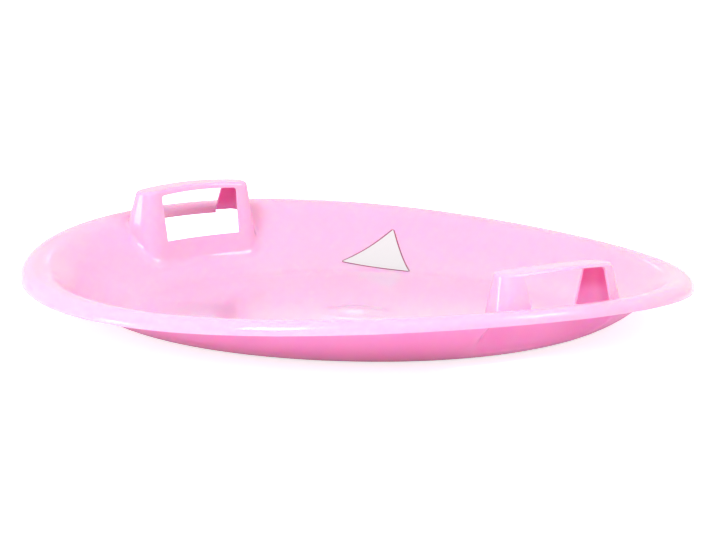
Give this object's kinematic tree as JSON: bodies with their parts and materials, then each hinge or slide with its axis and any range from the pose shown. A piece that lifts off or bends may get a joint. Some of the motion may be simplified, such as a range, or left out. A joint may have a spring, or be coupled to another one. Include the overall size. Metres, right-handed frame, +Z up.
{
  "type": "saucer sled",
  "caption": "Round shallow moulded snow saucer with a turned-down rim in a gentle saddle, a low centre dome, hollow windowed grab handles inside the rim and a blank triangular sticker.",
  "frame": {"origin": "on the ground under the centre of the flat floor, at the middle of the round rim", "axes": "+Z up out of the seat, X along the line through both handles with right_handle on +X, Y across"},
  "size_m": [0.6, 0.6, 0.0852],
  "materials": {
    "pink_polyethylene": "smooth glossy injection-moulded polyethylene, slightly translucent",
    "sticker_film": "satin white adhesive film with a thin plain border line and no print"
  },
  "bodies": {
    "root": {"dish": "pink_polyethylene", "rim_lip": "pink_polyethylene", "right_handle": "pink_polyethylene", "left_handle": "pink_polyethylene", "label": "sticker_film"}
  },
  "joints": []
}
